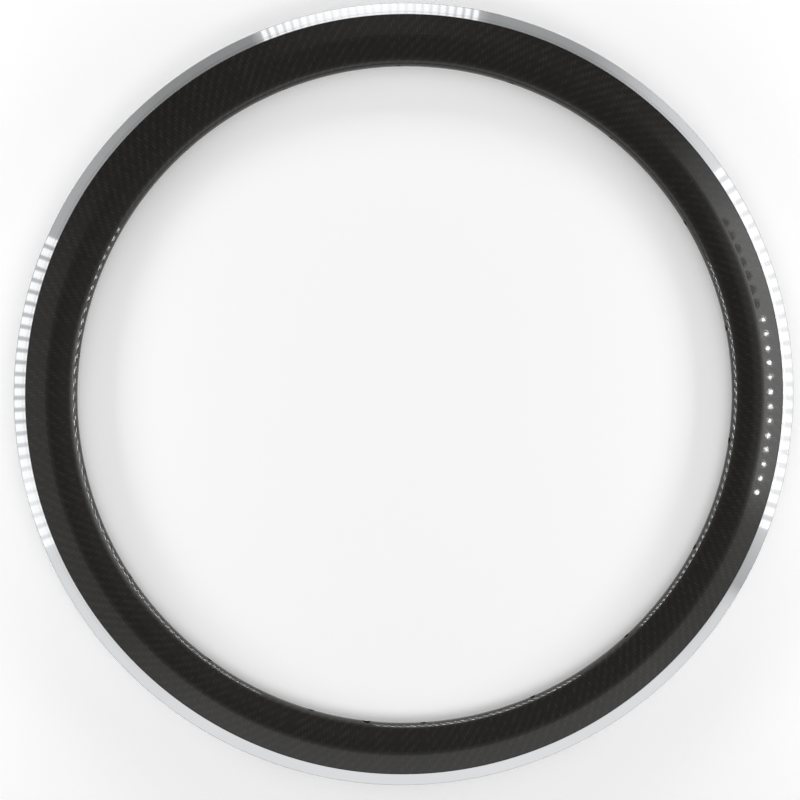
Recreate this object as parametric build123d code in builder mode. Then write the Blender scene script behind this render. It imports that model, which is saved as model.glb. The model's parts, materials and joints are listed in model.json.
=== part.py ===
from build123d import *
from math import cos, radians, sin, tan
import os

# Deep-section clincher rim: a turned alloy hoop carries the tyre and both brake tracks,
# and a hollow carbon body is bonded under it and carries the spokes.
# Z is the axle line, the origin is the wheel centre on the rim's mid-plane,
# and the valve hole is at -Y.

# tyre seat and brake tracks
bead_seat_dia = 622.0
flange_height = 5.5
rim_width = 23.0
track_height = 9.4
track_wall = 1.3
hook_lip = 0.9  # how far the bead hook stands in from the wall
hook_height = 2.8  # from the top of the flange down to the foot of the hook
hook_bevel = 0.7  # broken edges along the top of the flange
ledge_width = 3.2
well_drop = 3.2  # from the bead seat down to the floor of the well
well_width = 9.2
well_dish = 0.4  # fall of the well's floor towards the mid-plane
bed_wall = 0.9

# carbon body
rim_depth = 49.0
carbon_wall = 1.2
flank_taper = 16.9  # slope of the narrowing flanks, in degrees
shoulder_round = 20.0  # where the flat flank starts to narrow
nose_radius = 6.5
nose_wall = 3.0  # laminate under the seats of the spoke nipples

# bond between the two
lap_length = 6.0
skirt_wall = 0.8
skirt_tip = 0.5
bond_bevel = 0.4

# holes
spoke_count = 18
spoke_hole_dia = 4.7
access_hole_dia = 8.6
valve_hole_dia = 6.5
valve_angle = -90.0

bead_r = bead_seat_dia / 2
rim_r = bead_r + flange_height
nose_r = rim_r - rim_depth
bond_r = rim_r - track_height
well_r = bead_r - well_drop
lap_end_r = bond_r - lap_length
half_width = rim_width / 2
wall_z = half_width - track_wall
hook_z = wall_z - hook_lip
lap_z = half_width - carbon_wall  # the face that the skirts and the laminate share
first_spoke = valve_angle + 180 / spoke_count

# both sections are drawn opposite the valve, midway between two spoke holes
seam = radians(valve_angle + 180)
section = Plane((0, 0, 0), x_dir=(cos(seam), sin(seam), 0), z_dir=(sin(seam), -cos(seam), 0))

# the narrowing flank is the tangent of the nose circle that reaches the full width
slope = radians(flank_taper)
nose_centre_r = nose_r + nose_radius
tangent_r = nose_centre_r - nose_radius * sin(slope)
shoulder_r = tangent_r + (half_width - nose_radius * cos(slope)) / tan(slope)
inner_shoulder_r = shoulder_r + carbon_wall * tan(slope / 2)
floor_r = nose_r + nose_wall
floor_z = lap_z - (inner_shoulder_r - floor_r) * tan(slope)

with BuildPart() as alloy_hoop:
    with BuildSketch(section):
        with BuildLine():
            Polyline(
                (well_r, 0),
                (well_r + well_dish, well_width / 2),
                (bead_r, wall_z - ledge_width),
                (bead_r, wall_z),
                (rim_r - hook_height, wall_z),
                (rim_r - 2 * hook_bevel, hook_z),
                (rim_r, hook_z + hook_bevel),
                (rim_r, half_width - hook_bevel),
                (rim_r - hook_bevel, half_width),
                (bond_r, half_width),
                (bond_r, lap_z),
                (lap_end_r, lap_z),
                (lap_end_r, lap_z - skirt_tip),
                (bead_r - bed_wall, lap_z - skirt_wall),
                (well_r + well_dish - bed_wall, well_width / 2 + bed_wall / 3),
                (well_r - bed_wall, 0),
            )
            mirror(about=Plane.XZ)
        make_face()
    revolve(axis=Axis.Z)
    with PolarLocations(well_r, spoke_count, start_angle=first_spoke):
        Cylinder(access_hole_dia / 2, 6 * bed_wall, rotation=(0, 90, 0), mode=Mode.SUBTRACT)
    with PolarLocations(well_r, 1, start_angle=valve_angle):
        Cylinder(valve_hole_dia / 2, 6 * bed_wall, rotation=(0, 90, 0), mode=Mode.SUBTRACT)
alloy_hoop.part.label = "alloy_hoop"

with BuildPart() as carbon_body:
    with BuildSketch(section):
        with BuildLine():
            nose = CenterArc((nose_centre_r, 0), nose_radius, 180, flank_taper - 90)
            Polyline(
                nose @ 1,
                (shoulder_r, half_width),
                (bond_r - bond_bevel, half_width),
                (bond_r, half_width - bond_bevel),
                (bond_r, lap_z),
                (inner_shoulder_r, lap_z),
                (floor_r, floor_z),
                (floor_r, 0),
            )
            mirror(about=Plane.XZ)
        make_face()
        outside = vertices().filter_by(lambda v: abs(v.Y) > lap_z)
        fillet(outside.sort_by(Axis.X)[:2], radius=shoulder_round)
    revolve(axis=Axis.Z)
    with PolarLocations(nose_r, spoke_count, start_angle=first_spoke):
        Cylinder(spoke_hole_dia / 2, 4 * nose_wall, rotation=(0, 90, 0), mode=Mode.SUBTRACT)
    with PolarLocations(nose_r, 1, start_angle=valve_angle):
        Cylinder(valve_hole_dia / 2, 4 * nose_wall, rotation=(0, 90, 0), mode=Mode.SUBTRACT)
carbon_body.part.label = "carbon_body"

os.makedirs("parts", exist_ok=True)
export_step(alloy_hoop.part, "parts/alloy_hoop.step")
export_step(carbon_body.part, "parts/carbon_body.step")
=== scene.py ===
import json
from math import atan2, cos, degrees, hypot, pi, radians, sin, tan

import bmesh
import bpy
import numpy as np
from mathutils import Matrix, Vector

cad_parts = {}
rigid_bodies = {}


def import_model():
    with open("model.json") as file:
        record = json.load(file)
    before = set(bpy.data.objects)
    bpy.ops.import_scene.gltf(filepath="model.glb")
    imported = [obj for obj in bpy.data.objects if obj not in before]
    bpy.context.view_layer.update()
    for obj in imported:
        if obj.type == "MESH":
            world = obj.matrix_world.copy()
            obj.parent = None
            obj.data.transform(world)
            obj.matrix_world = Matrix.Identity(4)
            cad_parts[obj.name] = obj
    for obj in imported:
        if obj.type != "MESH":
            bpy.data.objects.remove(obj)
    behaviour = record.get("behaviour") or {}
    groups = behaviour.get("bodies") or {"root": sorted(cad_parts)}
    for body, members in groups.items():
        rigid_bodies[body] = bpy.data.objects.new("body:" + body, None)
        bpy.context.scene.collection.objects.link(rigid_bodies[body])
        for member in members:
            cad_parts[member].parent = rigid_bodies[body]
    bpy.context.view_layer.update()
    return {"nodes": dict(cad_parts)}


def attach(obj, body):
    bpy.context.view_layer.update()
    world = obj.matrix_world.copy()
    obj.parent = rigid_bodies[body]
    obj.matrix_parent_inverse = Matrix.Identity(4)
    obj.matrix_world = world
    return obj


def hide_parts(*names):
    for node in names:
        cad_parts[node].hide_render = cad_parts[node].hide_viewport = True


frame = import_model()
mm = 0.001
print("frame loaded:", sorted(frame["nodes"]))

# how near points count as one while the pieces are drawn, in millimetres
near = {"section": 1e-4, "sectors": 2e-3, "sectorEnd": 1e-3, "midPlane": 1e-6}


def newObject(name, bm, *materials):
    mesh = bpy.data.meshes.new(name)
    bm.to_mesh(mesh)
    bm.free()
    made = bpy.data.objects.new(name, mesh)
    bpy.context.scene.collection.objects.link(made)
    for material in materials:
        mesh.materials.append(material)
    return made


# section drawing: a pen moves in the plane of radius and width, in millimetres
def penAt(bm, radius, width):
    return bm.verts.new((radius, 0, width))


def lineTo(bm, pen, radius, width):
    pen = bmesh.ops.extrude_vert_indiv(bm, verts=[pen])["verts"][0]
    pen.co = (radius, 0, width)
    return pen


def arcBy(bm, pen, centre, turn, steps):
    turned = bmesh.ops.spin(
        bm, geom=[pen], cent=(centre[0], 0, centre[1]), axis=(0, -1, 0),
        angle=radians(turn), steps=steps, use_duplicate=False,
    )
    return [part for part in turned["geom_last"] if isinstance(part, bmesh.types.BMVert)][0]


def roundTo(bm, pen, radius, slope, end, segments):
    # a round on the outside, from one slope against the radius to the next
    lean = radians(slope)
    centre = (pen.co.x + radius * sin(lean), pen.co.z - radius * cos(lean))
    return arcBy(bm, pen, centre, end - slope, segments)


# whole meshes: turned about the axle, swept or repeated round it, brought to metres
def turnAll(bm, angle):
    bmesh.ops.rotate(bm, verts=bm.verts[:], matrix=Matrix.Rotation(radians(angle), 3, "Z"))


def spinAxle(bm, geom, angle, steps, **options):
    bmesh.ops.spin(
        bm, geom=geom, cent=(0, 0, 0), axis=(0, 0, 1), angle=radians(angle), steps=steps, **options)


def toMetres(bm):
    bmesh.ops.scale(bm, vec=(mm, mm, mm), verts=bm.verts[:])


def turnSector(bm, first, last, steps):
    # the other half of the section, then a closed length of rim between two angles
    bmesh.ops.mirror(bm, geom=bm.verts[:] + bm.edges[:], axis="Z", merge_dist=near["section"])
    bmesh.ops.remove_doubles(bm, verts=bm.verts[:], dist=near["section"])
    turnAll(bm, first)
    spinAxle(bm, bm.verts[:] + bm.edges[:], last - first, steps, use_duplicate=False)
    bmesh.ops.edgeloop_fill(bm, edges=[edge for edge in bm.edges if edge.is_boundary])
    bmesh.ops.recalc_face_normals(bm, faces=bm.faces[:])


# spoke lines and the valve, shared by both pieces
spokes = {
    "count": 18, "first": -80.0, "valve": -90.0, "valveHole": 6.5, "segments": 48,
    "lead": 0.75,  # share of a step by which a sector starts before its spoke line
}


def drillSector(bm, holes):
    # holes: (radius from the axle, angle, diameter, depth), each along its own spoke line
    tool = bmesh.new()
    for radius, angle, diameter, depth in holes:
        place = Matrix.Rotation(radians(angle), 4, "Z") @ Matrix.Translation((radius, 0, 0))
        bmesh.ops.create_cone(
            tool, cap_ends=True, segments=spokes["segments"],
            radius1=diameter / 2, radius2=diameter / 2, depth=depth,
            matrix=place @ Matrix.Rotation(radians(90), 4, "Y"),
        )
    drill, blank = newObject("drill", tool), newObject("blank", bm)
    cut = blank.modifiers.new("holes", "BOOLEAN")
    cut.operation, cut.solver, cut.object = "DIFFERENCE", "EXACT", drill
    finished = blank.evaluated_get(bpy.context.evaluated_depsgraph_get())
    drilled = bpy.data.meshes.new_from_object(finished)
    made = bmesh.new()
    made.from_mesh(drilled)
    for used in (drill, blank):
        bpy.data.objects.remove(used)
    bpy.data.meshes.remove(drilled)
    return made


def openEnds(bm, *angles):
    # takes off the end faces, where the next sector joins
    for angle in angles:
        outward = Vector((cos(radians(angle)), sin(radians(angle)), 0))
        along = Vector((-outward.y, outward.x, 0))
        ends = [
            face for face in bm.faces
            if all(abs(vert.co.dot(along)) < near["sectorEnd"] for vert in face.verts)
            and face.calc_center_median().dot(outward) > 0
        ]
        bmesh.ops.delete(bm, geom=ends, context="FACES")


def ringOf(drawSection, spokeHoles, valveHoles, steps):
    # a sector with its spoke hole is repeated round the rim, and one more has the valve hole too
    step, repeats = 360 / spokes["count"], spokes["count"] - 2
    first = spokes["first"] - spokes["lead"] * step
    whole = bmesh.new()
    for holes in (spokeHoles, spokeHoles + valveHoles):
        bm = bmesh.new()
        drawSection(bm)
        turnSector(bm, first, first + step, steps)
        bm = drillSector(bm, holes)
        openEnds(bm, first, first + step)
        if holes is spokeHoles:
            turnAll(bm, step)
            sector = bm.verts[:] + bm.edges[:] + bm.faces[:]
            spinAxle(bm, sector, step * repeats, repeats, use_duplicate=True)
        part = bpy.data.meshes.new("part")
        bm.to_mesh(part)
        bm.free()
        whole.from_mesh(part)
        bpy.data.meshes.remove(part)
    bmesh.ops.remove_doubles(whole, verts=whole.verts[:], dist=near["sectors"])
    bmesh.ops.recalc_face_normals(whole, faces=whole.faces[:])
    return whole


def smoothFaces(piece, sharpest):
    # normals follow the larger faces, so flat bands stay flat up to their rounded edges
    piece.data.shade_smooth()
    piece.data.set_sharp_from_angle(angle=radians(sharpest))
    weighted = piece.modifiers.new("flatBands", "WEIGHTED_NORMAL")
    weighted.mode, weighted.weight, weighted.keep_sharp = "FACE_AREA", 80, True


# node helpers
def addNode(tree, kind, inputs=None, **settings):
    made = tree.nodes.new(kind)
    for key, value in settings.items():
        setattr(made, key, value)
    for key, value in (inputs or {}).items():
        if isinstance(value, bpy.types.NodeSocket):
            tree.links.new(value, made.inputs[key])
        else:
            made.inputs[key].default_value = value
    return made


def sums(tree, operation, *values):
    made = addNode(tree, "ShaderNodeMath", dict(enumerate(values)), operation=operation)
    return made.outputs[0]


def vectors(tree, operation, first, second=None):
    inputs = {0: first} if second is None else {0: first, 1: second}
    return addNode(tree, "ShaderNodeVectorMath", inputs, operation=operation).outputs


def blendValue(tree, factor, low, high):
    made = addNode(tree, "ShaderNodeMix", {0: factor, 2: low, 3: high}, data_type="FLOAT")
    return made.outputs[0]


def blendColour(tree, factor, low, high):
    made = addNode(tree, "ShaderNodeMix", {0: factor, 6: low, 7: high}, data_type="RGBA")
    return made.outputs[2]


def noise(tree, place, scale, detail):
    inputs = {"Vector": place, "Scale": scale, "Detail": detail}
    return addNode(tree, "ShaderNodeTexNoise", inputs).outputs[0]


def ramp(tree, value, start, end, low, high):
    inputs = {0: value, 1: start, 2: end, 3: low, 4: high}
    return addNode(tree, "ShaderNodeMapRange", inputs).outputs[0]


def newGroup(name, inputs, outputs):
    tree = bpy.data.node_groups.new(name, "ShaderNodeTree")
    for label, kind in inputs:
        tree.interface.new_socket(label, in_out="INPUT", socket_type=kind)
    for label, kind in outputs:
        tree.interface.new_socket(label, in_out="OUTPUT", socket_type=kind)
    return tree, tree.nodes.new("NodeGroupInput"), tree.nodes.new("NodeGroupOutput")


def newMaterial(name, constants):
    material = bpy.data.materials.new(name)
    material.use_nodes = True
    tree = material.node_tree
    shader = tree.nodes["Principled BSDF"]
    for label, value in constants.items():
        shader.inputs[label].default_value = value
    return material, tree, shader


number, vector = "NodeSocketFloat", "NodeSocketVector"

twillPlan = {
    "cells": 2.0,  # over two tows, then under two, one step along each row
    "towRound": 2.0, "runRound": 4.0, "dip": 0.5,  # round across, flatter along, low at its ends
    "along": 0.35, "across": 9.0,  # how fine the filaments are along a tow and across it
}


def makeTwill(plan):
    tree, given, out = newGroup(
        "twillWeave", [("Around", number), ("Across", number)],
        [("Over", number), ("Crown", number), ("Filament", number), ("Shade", number)],
    )
    around, across = given.outputs["Around"], given.outputs["Across"]
    inAround, inAcross = sums(tree, "FRACT", around), sums(tree, "FRACT", across)
    towAround, towAcross = sums(tree, "FLOOR", around), sums(tree, "FLOOR", across)
    step = sums(tree, "FLOORED_MODULO", sums(tree, "ADD", towAround, towAcross), 2 * plan["cells"])
    over = sums(tree, "LESS_THAN", step, plan["cells"] - 0.5)

    def hump(value, power):
        offset = sums(tree, "ABSOLUTE", sums(tree, "MULTIPLY_ADD", value, 2.0, -1.0))
        return sums(tree, "SUBTRACT", 1.0, sums(tree, "POWER", offset, power))

    def tow(width, run):
        rise = hump(sums(tree, "DIVIDE", run, plan["cells"]), plan["runRound"])
        level = sums(tree, "MULTIPLY_ADD", rise, 1 - plan["dip"], plan["dip"])
        return sums(tree, "MULTIPLY", hump(width, plan["towRound"]), level)

    radial = tow(inAround, sums(tree, "ADD", step, inAcross))
    ring = tow(inAcross, sums(tree, "ADD", sums(tree, "SUBTRACT", step, plan["cells"]), inAround))
    lines = addNode(tree, "ShaderNodeCombineXYZ", {
        0: sums(tree, "MULTIPLY", around, blendValue(tree, over, plan["along"], plan["across"])),
        1: sums(tree, "MULTIPLY", across, blendValue(tree, over, plan["across"], plan["along"])),
        2: over,
    })
    # every tow has its own shade along its whole length
    which = blendValue(tree, over, sums(tree, "SUBTRACT", -1.0, towAcross), towAround)
    shade = addNode(tree, "ShaderNodeTexWhiteNoise", {"W": which}, noise_dimensions="1D")
    results = {
        "Over": over, "Crown": blendValue(tree, over, ring, radial),
        "Filament": noise(tree, lines.outputs[0], 1.0, 1.0), "Shade": shade.outputs["Value"],
    }
    for label, result in results.items():
        tree.links.new(result, out.inputs[label])
    return tree


ringDrift = {"scale": 9.0, "detail": 3.0}


def makeTurnedRings(drift):
    # fine rings left by the lathe: each one leans outwards a little, by its own amount
    tree, given, out = newGroup(
        "turnedRings",
        [("Place", vector), ("Facing", vector), ("Pitch", number), ("Lean", number)],
        [("Normal", vector), ("Drift", number)],
    )
    place = given.outputs["Place"]
    flat = vectors(tree, "MULTIPLY", place, (1.0, 1.0, 0.0))[0]
    radius = vectors(tree, "LENGTH", flat)["Value"]
    turned = addNode(
        tree, "ShaderNodeVectorTransform", {0: vectors(tree, "NORMALIZE", flat)[0]},
        vector_type="VECTOR", convert_from="OBJECT", convert_to="WORLD",
    )
    count = sums(tree, "DIVIDE", sums(tree, "MULTIPLY", radius, 1 / mm), given.outputs["Pitch"])
    ring = addNode(
        tree, "ShaderNodeTexWhiteNoise", {"W": sums(tree, "FLOOR", count)}, noise_dimensions="1D")
    lean = sums(tree, "MULTIPLY", ring.outputs["Value"], given.outputs["Lean"])
    slope = addNode(
        tree, "ShaderNodeVectorMath", {0: turned.outputs[0], "Scale": lean}, operation="SCALE")
    leant = vectors(tree, "ADD", given.outputs["Facing"], slope.outputs[0])[0]
    tree.links.new(vectors(tree, "NORMALIZE", leant)[0], out.inputs["Normal"])
    tree.links.new(noise(tree, place, drift["scale"], drift["detail"]), out.inputs["Drift"])
    return tree


twillWeave, turnedRings = makeTwill(twillPlan), makeTurnedRings(ringDrift)
print("shared finishes ready")

carbonFinish = {
    "towsAround": 900, "towWidth": 2.1,
    "dark": (0.0020, 0.0016, 0.0012, 1), "light": (0.0190, 0.0158, 0.0118, 1),
    # how each part of the weave sets the painted sheen in the colour: gain and base
    "filamentShine": (0.8, 0.3), "overShine": (0.6, 0.4), "towShine": (1.0, 0.5),
    "roughLow": 0.30, "roughHigh": 0.46, "towRise": 0.00006,
    "peelScale": 350.0, "peelDetail": 1.0, "peelRise": 0.0000042,
    "shader": {
        "Coat Weight": 1.0, "Coat Roughness": 0.03, "Coat IOR": 1.5, "IOR": 1.5,
        "Specular IOR Level": 0.17,
    },
}


def makeLacqueredCarbon(look):
    material, tree, shader = newMaterial("lacqueredCarbon", look["shader"])
    weaveMap = addNode(tree, "ShaderNodeUVMap", uv_map="weave")
    split = addNode(tree, "ShaderNodeSeparateXYZ", {0: weaveMap.outputs[0]})
    twill = addNode(tree, "ShaderNodeGroup", node_tree=twillWeave)
    around = sums(tree, "MULTIPLY", split.outputs[0], look["towsAround"])
    across = sums(tree, "DIVIDE", split.outputs[1], look["towWidth"])
    tree.links.new(around, twill.inputs["Around"])
    tree.links.new(across, twill.inputs["Across"])
    crown, filament = twill.outputs["Crown"], twill.outputs["Filament"]
    # painted sheen: the colour is lighter on each tow's crown and on the tows that lie over, and
    # the filaments and each tow's own shade vary it
    paintedSheenAndTone = crown
    shares = {"Filament": "filamentShine", "Over": "overShine", "Shade": "towShine"}
    for label, share in shares.items():
        gain = sums(tree, "MULTIPLY_ADD", twill.outputs[label], *look[share])
        paintedSheenAndTone = sums(tree, "MULTIPLY", paintedSheenAndTone, gain)
    colour = blendColour(tree, paintedSheenAndTone, look["dark"], look["light"])
    rough = blendValue(tree, filament, look["roughLow"], look["roughHigh"])
    tree.links.new(colour, shader.inputs["Base Color"])
    tree.links.new(rough, shader.inputs["Roughness"])
    # the tows stand up a little, and the lacquer over them is a little uneven
    place = addNode(tree, "ShaderNodeTexCoord").outputs["Object"]
    peel = noise(tree, place, look["peelScale"], look["peelDetail"])
    for height, rise, label in (
            (crown, look["towRise"], "Normal"), (peel, look["peelRise"], "Coat Normal")):
        inputs = {"Height": height, "Distance": rise, "Strength": 1.0}
        bump = addNode(tree, "ShaderNodeBump", inputs)
        tree.links.new(bump.outputs[0], shader.inputs[label])
    return material


rawFinish = {
    "dark": (0.006, 0.006, 0.006, 1), "light": (0.022, 0.022, 0.022, 1),
    "roughLow": 0.5, "roughHigh": 0.8, "grain": 420.0, "detail": 3.0, "shader": {"IOR": 1.5},
}


def makeRawCarbon(look):
    # moulding face inside the hollow body, seen only through its holes
    material, tree, shader = newMaterial("rawCarbon", look["shader"])
    place = addNode(tree, "ShaderNodeTexCoord").outputs["Object"]
    grain = noise(tree, place, look["grain"], look["detail"])
    colour = blendColour(tree, grain, look["dark"], look["light"])
    rough = blendValue(tree, grain, look["roughLow"], look["roughHigh"])
    tree.links.new(colour, shader.inputs["Base Color"])
    tree.links.new(rough, shader.inputs["Roughness"])
    return material


def addRings(tree, shader, look):
    place = addNode(tree, "ShaderNodeTexCoord")
    facing = addNode(tree, "ShaderNodeNewGeometry")
    rings = addNode(tree, "ShaderNodeGroup", {
        "Place": place.outputs["Object"], "Facing": facing.outputs["Normal"],
        "Pitch": look["pitch"], "Lean": look["lean"],
    }, node_tree=turnedRings)
    colour = blendColour(tree, rings.outputs["Drift"], look["dark"], look["light"])
    tree.links.new(colour, shader.inputs["Base Color"])
    tree.links.new(rings.outputs["Normal"], shader.inputs["Normal"])
    return rings.outputs["Drift"]


trackFinish = {
    "pitch": 0.06, "lean": 0.085,
    "dark": (0.70, 0.71, 0.72, 1), "light": (0.80, 0.81, 0.82, 1),
    "shader": {
        "Metallic": 1.0, "Anisotropic": 1.0, "Anisotropic Rotation": 0.25, "Roughness": 0.05,
    },
}


def makeTurnedTrack(look):
    material, tree, shader = newMaterial("turnedTrack", look["shader"])
    addRings(tree, shader, look)
    around = addNode(tree, "ShaderNodeTangent", direction_type="RADIAL", axis="Z")
    tree.links.new(around.outputs[0], shader.inputs["Tangent"])
    return material


bedFinish = {
    "pitch": 0.8, "lean": 0.04,
    "dark": (0.60, 0.61, 0.62, 1), "light": (0.74, 0.75, 0.76, 1),
    "roughLow": 0.28, "roughHigh": 0.42, "shader": {"Metallic": 1.0},
}


def makeSatinAlloy(look):
    material, tree, shader = newMaterial("satinAlloy", look["shader"])
    drift = addRings(tree, shader, look)
    rough = blendValue(tree, drift, look["roughLow"], look["roughHigh"])
    tree.links.new(rough, shader.inputs["Roughness"])
    return material


carbonBody = {
    "noseR": 267.5, "halfWidth": 11.5, "bondR": 307.1, "bondBevel": 0.4,
    # rounds of the outside from the nose up: radius, slope where it ends, segments
    "rounds": [(6.0, 30, 13), (22, 19.5, 6), (137, 13.5, 6)],
    "lastSegments": 8,  # of one more round, which reaches the flat flank
    "wall": 1.2, "taper": 16.9, "innerR": 289.67, "floorWall": 3.0,
    "spokeHole": 4.7, "holeDepth": 12.0, "steps": 36, "sharpest": 28,
    "slack": 0.05, "facesOut": 0.3,  # how the faces of the hollow are told from the outside
}


def makeCarbonBody(body, lacquered, raw):
    noseR, bondR, bevel = body["noseR"], body["bondR"], body["bondBevel"]
    half, lapZ = body["halfWidth"], body["halfWidth"] - body["wall"]
    innerR, floorR = body["innerR"], noseR + body["floorWall"]
    floorZ = lapZ - (innerR - floorR) * tan(radians(body["taper"]))

    def drawSection(bm):
        pen = penAt(bm, noseR, 0)
        slope = 90
        for radius, end, segments in body["rounds"]:
            pen = roundTo(bm, pen, radius, slope, end, segments)
            slope = end
        lastRadius = (half - pen.co.z) / (1 - cos(radians(slope)))
        pen = roundTo(bm, pen, lastRadius, slope, 0, body["lastSegments"])
        for radius, width in (
                ((pen.co.x + bondR) / 2, half), (bondR - bevel, half), (bondR, half - bevel),
                (bondR, lapZ), (innerR, lapZ), (floorR, floorZ), (floorR, 0)):
            pen = lineTo(bm, pen, radius, width)

    bm = ringOf(
        drawSection, [(noseR, spokes["first"], body["spokeHole"], body["holeDepth"])],
        [(noseR, spokes["valve"], spokes["valveHole"], body["holeDepth"])], body["steps"],
    )
    slack = body["slack"]
    for face in bm.faces:
        centre = face.calc_center_median()
        radius, width = hypot(centre.x, centre.y), abs(centre.z)
        outward = face.normal.dot(Vector((centre.x, centre.y, 0)).normalized())
        inside = width < lapZ + slack and outward > -slack and radius > floorR - 2 * slack
        face.material_index = int(inside or (outward > body["facesOut"] and width < lapZ))
    toMetres(bm)
    piece = newObject("carbonBody", bm, lacquered, raw)
    smoothFaces(piece, body["sharpest"])
    unrollWeave(piece, body)
    return piece


def readAll(items, field, width=1, kind=float):
    values = np.empty(len(items) * width, kind)
    items.foreach_get(field, values)
    return values


def unrollWeave(piece, body):
    # map: once round the rim across it, millimetres from the nose along the section up it
    mesh = piece.data
    place = readAll(mesh.vertices, "co", 3).reshape(-1, 3) / mm
    radius, width = np.hypot(place[:, 0], place[:, 1]), np.abs(place[:, 2])
    turn = np.arctan2(place[:, 1], place[:, 0]) / (2 * pi) % 1.0
    nose, end = body["rounds"][0][:2]
    centreR = body["noseR"] + nose
    endR, endZ = centreR - nose * sin(radians(end)), nose * cos(radians(end))
    aroundNose = nose * np.arctan2(width, centreR - radius)
    flank = nose * radians(90 - end) + np.hypot(radius - endR, width - endZ)
    across = np.where(radius < endR, aroundNose, flank) * np.sign(place[:, 2])
    # faces over the seam keep to one side of it
    corner = readAll(mesh.loops, "vertex_index", kind=int)
    start = readAll(mesh.polygons, "loop_start", kind=int)
    count = readAll(mesh.polygons, "loop_total", kind=int)
    turns = turn[corner]
    wide = np.maximum.reduceat(turns, start) - np.minimum.reduceat(turns, start) > 0.5
    turns = np.where(np.repeat(wide, count) & (turns < 0.5), turns + 1.0, turns)
    weave = mesh.uv_layers.new(name="weave")
    weave.data.foreach_set("uv", np.column_stack((turns, across[corner])).ravel())


alloyHoop = {
    "rimR": 316.5, "beadR": 311.0, "wellR": 307.8, "bondR": 307.1, "lapEndR": 301.1,
    "halfWidth": 11.5, "wallZ": 10.2, "hookZ": 9.3, "lapZ": 10.3,
    "ledge": 3.2, "wellHalf": 4.6, "wellDish": 0.4, "hookFoot": 2.8, "hookBevel": 0.7,
    "bedWall": 0.9, "skirtWall": 0.8, "skirtTip": 0.5,
    # rounding of the corners
    "wellRound": 1.2, "ledgeRound": 0.5, "seatRound": 0.4, "hookRound": 0.35,
    "topRound": 0.3, "bondRound": 0.15, "skirtRound": 0.6, "roundSegments": 4,
    "accessHole": 8.6, "holeDepth": 5.4, "steps": 36, "sharpest": 28,
}


def makeAlloyHoop(hoop, track, satin):
    rimR, beadR, wellR, bondR = (hoop[name] for name in ("rimR", "beadR", "wellR", "bondR"))
    half, wallZ, hookZ, lapZ = (hoop[name] for name in ("halfWidth", "wallZ", "hookZ", "lapZ"))
    bevel, bed = hoop["hookBevel"], hoop["bedWall"]
    wellEdge = wellR + hoop["wellDish"]
    corners = [  # radius, width, rounding
        (wellR, 0, 0), (wellEdge, hoop["wellHalf"], hoop["wellRound"]),
        (beadR, wallZ - hoop["ledge"], hoop["ledgeRound"]), (beadR, wallZ, hoop["seatRound"]),
        (rimR - hoop["hookFoot"], wallZ, hoop["seatRound"]),
        (rimR - 2 * bevel, hookZ, hoop["hookRound"]),
        (rimR, hookZ + bevel, hoop["topRound"]), (rimR, half - bevel, hoop["topRound"]),
        (rimR - bevel, half, hoop["topRound"]), (bondR, half, hoop["bondRound"]),
        (bondR, lapZ, 0), (hoop["lapEndR"], lapZ, 0), (hoop["lapEndR"], lapZ - hoop["skirtTip"], 0),
        (beadR - bed, lapZ - hoop["skirtWall"], hoop["skirtRound"]),
        (wellEdge - bed, hoop["wellHalf"] + bed / 3, hoop["wellRound"]), (wellR - bed, 0, 0),
    ]

    def drawSection(bm):
        verts = [penAt(bm, radius, width) for radius, width, rounding in corners]
        bm.faces.new(verts)
        for vert, (radius, width, rounding) in zip(verts, corners):
            if rounding:
                bmesh.ops.bevel(
                    bm, geom=[vert], offset=rounding, offset_type="OFFSET", affect="VERTICES",
                    segments=hoop["roundSegments"], profile=0.5, material=-1,
                )
        bmesh.ops.delete(bm, geom=bm.faces[:], context="FACES_ONLY")
        middle = [
            edge for edge in bm.edges
            if all(abs(vert.co.z) < near["midPlane"] for vert in edge.verts)
        ]
        bmesh.ops.delete(bm, geom=middle, context="EDGES")

    bm = ringOf(
        drawSection, [(wellR, spokes["first"], hoop["accessHole"], hoop["holeDepth"])],
        [(wellR, spokes["valve"], spokes["valveHole"], hoop["holeDepth"])], hoop["steps"],
    )
    for face in bm.faces:
        centre = face.calc_center_median()
        onTrack = abs(centre.z) > half - bevel and hypot(centre.x, centre.y) > bondR
        face.material_index = 0 if onTrack else 1
    toMetres(bm)
    piece = newObject("alloyHoop", bm, track, satin)
    smoothFaces(piece, hoop["sharpest"])
    return piece


body = makeCarbonBody(carbonBody, makeLacqueredCarbon(carbonFinish), makeRawCarbon(rawFinish))
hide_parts("carbon_body")
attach(body, "root")
print("carbon body:", len(body.data.polygons), "faces")

rimHoop = makeAlloyHoop(alloyHoop, makeTurnedTrack(trackFinish), makeSatinAlloy(bedFinish))
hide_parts("alloy_hoop")
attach(rimHoop, "root")
print("alloy hoop:", len(rimHoop.data.polygons), "faces")

studio = {
    "turn": 7.77,  # the rig and the camera are turned about the axle by this much
    "ceilingZ": 660, "white": 1.0,
    "floorZ": -11.5, "floorR": 790, "floorSegments": 128, "fadeR": 480, "floorGlow": 0.16,
    "paper": {
        "Base Color": (0.90, 0.90, 0.90, 1), "Roughness": 0.9, "Specular IOR Level": 0.1,
        "Emission Color": (1, 1, 1, 1),
    },
    # plain light from low down up to straight above
    "horizon": 0.12, "sky": 0.70, "skyRise": (0.5, 0.95),
    # what the rim mirrors: pale walls low down, a dark room above them
    "walls": 1.4, "wallLean": (-0.15, 0.2, 0), "wallTop": (0.03, 0.27),
    "wallColour": (1.0, 0.96, 0.91, 1), "overhead": 0.105, "overheadLean": (0.09, 0.09, 0),
}


def emitter(name, strength):
    material = bpy.data.materials.new(name)
    material.use_nodes = True
    tree = material.node_tree
    tree.nodes.remove(tree.nodes["Principled BSDF"])
    glow = addNode(tree, "ShaderNodeEmission", {"Strength": strength})
    tree.links.new(glow.outputs[0], tree.nodes["Material Output"].inputs["Surface"])
    return material


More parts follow.
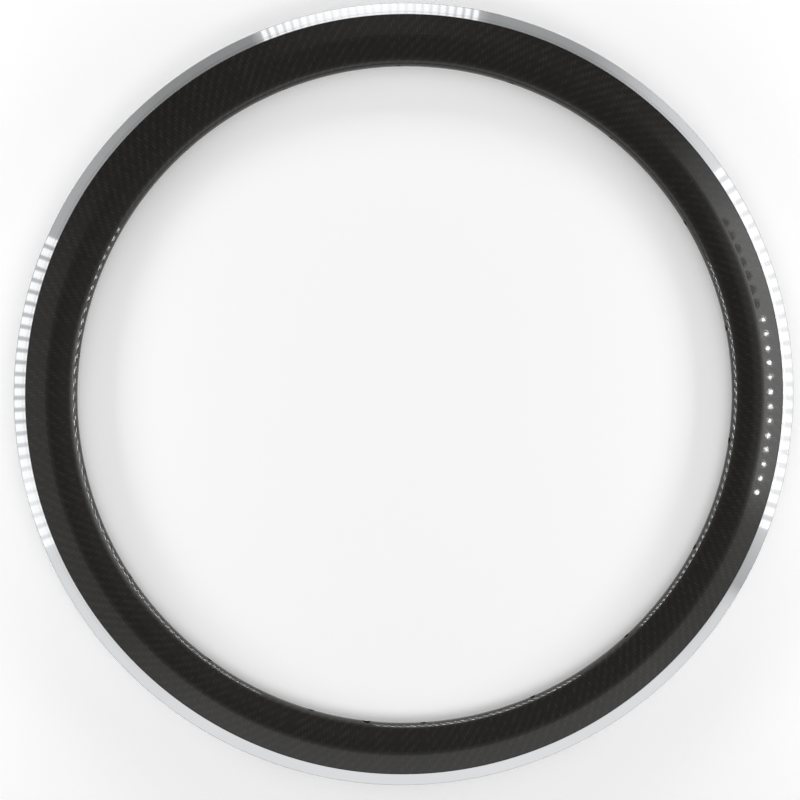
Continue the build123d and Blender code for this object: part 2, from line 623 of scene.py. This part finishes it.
def hang(made, place, rig):
    # put a piece of the rig in its place, turned with the camera; only reflections show it
    turned = Matrix.Rotation(radians(rig["turn"]), 4, "Z")
    made.matrix_world = turned @ Matrix.Translation(Vector(place) * mm)
    made.visible_camera = made.visible_diffuse = made.visible_shadow = False
    made.visible_transmission = made.visible_volume_scatter = False


def addSliver(bm, place, length, width):
    shape = Matrix.Diagonal((length / 2, width / 2, 1, 1))
    bmesh.ops.create_grid(bm, x_segments=1, y_segments=1, size=1.0, matrix=place @ shape)


def makeFloor(rig):
    bm = bmesh.new()
    bmesh.ops.create_circle(
        bm, cap_ends=True, segments=rig["floorSegments"], radius=rig["floorR"] * mm)
    material, tree, shader = newMaterial("floorPaper", rig["paper"])
    # the paper fades into the white round it; its glow is seen and mirrored, and lights nothing
    ray = addNode(tree, "ShaderNodeLightPath").outputs
    shown = sums(tree, "MAXIMUM", ray["Is Camera Ray"], ray["Is Glossy Ray"])
    place = addNode(tree, "ShaderNodeTexCoord").outputs["Object"]
    distance = vectors(tree, "LENGTH", place)["Value"]
    start, end = rig["fadeR"] * mm, rig["floorR"] * mm
    glow = ramp(tree, distance, start, end, rig["floorGlow"], rig["white"])
    tree.links.new(sums(tree, "MULTIPLY", shown, glow), shader.inputs["Emission Strength"])
    floor = newObject("floor", bm, material)
    floor.location.z = rig["floorZ"] * mm


def makeSky(rig):
    world = bpy.data.worlds.new("studioWorld")
    world.use_nodes = True
    bpy.context.scene.world = world
    tree = world.node_tree
    ray = addNode(tree, "ShaderNodeLightPath").outputs
    towards = addNode(tree, "ShaderNodeTexCoord").outputs["Generated"]
    upward = addNode(tree, "ShaderNodeSeparateXYZ", {0: towards}).outputs[2]
    levels = []
    for level, lean in (("walls", "wallLean"), ("overhead", "overheadLean")):
        aside = vectors(tree, "DOT_PRODUCT", towards, rig[lean])["Value"]
        levels.append(sums(tree, "ADD", aside, rig[level]))
    mirrored = ramp(tree, upward, *rig["wallTop"], *levels)
    spread = ramp(tree, upward, *rig["skyRise"], rig["horizon"], rig["sky"])
    seen = blendValue(tree, ray["Is Glossy Ray"], spread, mirrored)
    seen = blendValue(tree, ray["Is Camera Ray"], seen, rig["white"])
    tint = blendColour(tree, ray["Is Glossy Ray"], (1, 1, 1, 1), rig["wallColour"])
    tree.links.new(seen, tree.nodes["Background"].inputs["Strength"])
    tree.links.new(tint, tree.nodes["Background"].inputs["Color"])


ceiling = {
    "hub": (62, -33), "steps": 180, "rings": (50, 110, 230, 320, 375, 437, 462, 484, 1500),
    # share of the glow from the middle out, plain and where it is over the level for glare
    "fade": (0.0, 0.02, 0.1, 0.32, 0.55, 0.9, 1.0),
    "glare": (0.0, 0.12, 0.22, 0.52, 0.78, 1.0, 1.0), "glareFrom": 0.9,
    # angle, glow where the flat flank mirrors it, glow farther out
    "glow": [
        (-13, 2.1, 1.05), (20, 2.7, 1.05), (27, 2.45, 1.05), (33, 1.4, 1.0), (39, 0.8, 0.9),
        (45, 0.12, 0.83), (50, 0.04, 0.75), (62, 0.03, 0.43), (78, 0.09, 0.4),
        (81, 0.12, 0.7), (87, 0.16, 1.1), (95, 0.22, 1.25), (105, 0.16, 1.1), (111, 0.12, 0.8),
        (114, 0.06, 0.34), (130, 0.03, 0.34), (145, 0.05, 0.5), (155, 0.18, 0.55), (160, 0.28, 0.6),
        (183, 0.42, 0.66), (188, 0.45, 0.95), (193, 0.46, 1.15),
        (200, 0.48, 1.0), (204, 0.49, 0.9), (217, 0.51, 0.92), (235, 0.95, 0.93),
        (310, 0.98, 0.93), (325, 0.53, 0.84), (327.5, 0.53, 0.82), (330, 0.54, 0.52),
        (333, 0.55, 0.56), (337, 0.58, 0.66), (340, 0.75, 0.78), (343, 1.25, 0.98),
    ],
}


def makeCeiling(plan, rig):
    # pale ceiling round a dark opening over the rim
    angles, flank, outer = zip(*plan["glow"])
    dark = rig["overhead"]
    bm = bmesh.new()
    pen = penAt(bm, plan["rings"][0], 0)
    for radius in plan["rings"][1:]:
        pen = lineTo(bm, pen, radius, 0)
    spinAxle(bm, bm.verts[:] + bm.edges[:], 360, plan["steps"], use_merge=True)
    glow = bm.verts.layers.float.new("glow")
    for vert in bm.verts:
        angle, radius = degrees(atan2(vert.co.y, vert.co.x)), hypot(vert.co.x, vert.co.y)
        bright, farther = (np.interp(angle, angles, level, period=360) for level in (flank, outer))
        glare = min(1, max(0, bright - plan["glareFrom"]))
        share = [soft + (wide - soft) * glare for soft, wide in zip(plan["fade"], plan["glare"])]
        inner = [dark + (bright - dark) * part for part in share]
        vert[glow] = np.interp(radius, plan["rings"], (*inner, farther, farther))
    toMetres(bm)
    material = emitter("ceilingGlow", 1.0)
    tree = material.node_tree
    level = addNode(tree, "ShaderNodeAttribute", attribute_name="glow")
    tree.links.new(level.outputs["Fac"], tree.nodes["Emission"].inputs["Strength"])
    hang(newObject("ceiling", bm, material), (*plan["hub"], rig["ceilingZ"]), rig)


ledFans = {
    "hub": (56, -30), "inner": 476, "outer": 760, "drop": 5, "duty": 0.55, "strength": 1.36,
    # name, first and last angle, number
    "arcs": [
        ("top", 79.7, 111.5, 27), ("left", 156.4, 201.9, 27), ("right", -19.9, 35.1, 28),
    ],
}


def makeLedFans(fans, rig):
    # rows of lamps over the rim: each lamp is a sliver that points at the hub
    material = emitter("ledFan", fans["strength"])
    middle = (fans["inner"] + fans["outer"]) / 2 * mm
    length = (fans["outer"] - fans["inner"]) * mm
    for name, first, last, count in fans["arcs"]:
        width = middle * radians(last - first) / (count - 1) * fans["duty"]
        bm = bmesh.new()
        addSliver(bm, Matrix.Translation((middle, 0, 0)), length, width)
        turnAll(bm, first)
        spinAxle(bm, bm.faces[:], last - first, count - 1, use_duplicate=True)
        made = newObject("ledFan." + name, bm, material)
        hang(made, (*fans["hub"], rig["ceilingZ"] - fans["drop"]), rig)


flankLamps = {
    "hub": (62, -33), "pitch": 2.32, "drop": 8, "segments": 12,
    # name, first angle, number, distance from the hub, width, strength
    "rows": [("lit", -15.4, 13, 442, 5, 44.0), ("unlit", 15.2, 7, 436, 13, 0.9)],
}


def makeFlankLamps(lamps, rig):
    # one short row that the lacquer on the right flank mirrors as dots, part of it switched off
    for name, first, count, radius, size, strength in lamps["rows"]:
        bm = bmesh.new()
        bmesh.ops.create_circle(
            bm, cap_ends=True, segments=lamps["segments"], radius=size / 2 * mm,
            matrix=Matrix.Translation((radius * mm, 0, 0)),
        )
        turnAll(bm, first)
        spinAxle(bm, bm.faces[:], lamps["pitch"] * (count - 1), count - 1, use_duplicate=True)
        made = newObject("flankLamps." + name, bm, emitter("flankLamp." + name, strength))
        hang(made, (*lamps["hub"], rig["ceilingZ"] - lamps["drop"]), rig)


lowRows = {
    "heights": (110, 450, 545), "tall": 80, "wide": 6, "pitch": 20, "strength": 32.0,
    # name, turn of the row, distance from the axle, first and last along the row
    "rows": [
        ("left", 180, 640, -680, 380), ("right", 0, 625, -357, 890), ("top", 90, 820, -200, 420),
    ],
}


def makeLowRows(rows, rig, sparkling):
    # upright slivers low at the sides: the round nose mirrors them, and they light nothing else
    material = emitter("lowRow", rows["strength"])
    lit = bpy.data.collections.new("sparkling")
    lit.objects.link(sparkling)
    upright = Matrix.Rotation(radians(90), 4, "Y")
    for name, turn, distance, first, last in rows["rows"]:
        bm = bmesh.new()
        for height in rows["heights"]:
            place = Matrix.Translation(Vector((distance, first, height)) * mm)
            addSliver(bm, place @ upright, rows["tall"] * mm, rows["wide"] * mm)
        steps = int((last - first) / rows["pitch"])
        spinAxle(
            bm, bm.faces[:], 0, steps, dvec=(0, rows["pitch"] * mm, 0), use_duplicate=True)
        turnAll(bm, turn)
        made = newObject("lowRow." + name, bm, material)
        made.light_linking.receiver_collection = lit
        hang(made, (0, 0, 0), rig)


softLamps = {
    # name, turn, distance, height, tilt, width, tall, power
    "lamps": [
        ("left", 180, 860, 250, 75, 900, 160, 3.3), ("right", 0, 830, 250, 75, 900, 160, 3.0),
        ("top", 90, 950, 250, 75, 900, 160, 3.5), ("low", 270, 480, 880, 28, 900, 500, 2.2),
    ],
}


def makeSoftLamps(plan, rig):
    for name, turn, distance, height, tilt, wide, tall, power in plan["lamps"]:
        data = bpy.data.lights.new("softLamp." + name, "AREA")
        data.shape, data.size, data.size_y = "RECTANGLE", wide * mm, tall * mm
        data.energy = power
        lamp = bpy.data.objects.new("softLamp." + name, data)
        bpy.context.scene.collection.objects.link(lamp)
        turned = Matrix.Rotation(radians(rig["turn"] + turn), 4, "Z")
        place = Matrix.Translation(Vector((distance, 0, height)) * mm)
        aimed = Matrix.Rotation(radians(90), 4, "Z") @ Matrix.Rotation(radians(tilt), 4, "X")
        lamp.matrix_world = turned @ place @ aimed
        lamp.visible_glossy = False


view = {
    "from": (-132.26, 49.52, 1307.9), "aim": (-8.4, -2.7, 0), "up": 97.77,
    "lens": 72.7, "sensor": 36,
}


def makeCamera(shot):
    data = bpy.data.cameras.new("camera")
    data.lens, data.sensor_width = shot["lens"], shot["sensor"]
    camera = bpy.data.objects.new("camera", data)
    bpy.context.scene.collection.objects.link(camera)
    eye, aim = Vector(shot["from"]) * mm, Vector(shot["aim"]) * mm
    back = (eye - aim).normalized()
    up = Vector((cos(radians(shot["up"])), sin(radians(shot["up"])), 0))
    right = up.cross(back).normalized()
    turned = Matrix((right, back.cross(right), back)).transposed().to_4x4()
    camera.matrix_world = Matrix.Translation(eye) @ turned
    bpy.context.scene.camera = camera


makeFloor(studio)
makeSky(studio)
makeCeiling(ceiling, studio)
makeLedFans(ledFans, studio)
makeFlankLamps(flankLamps, studio)
makeLowRows(lowRows, studio, body)
makeSoftLamps(softLamps, studio)
makeCamera(view)
bpy.context.scene.view_settings.view_transform = "Standard"
print("studio ready")
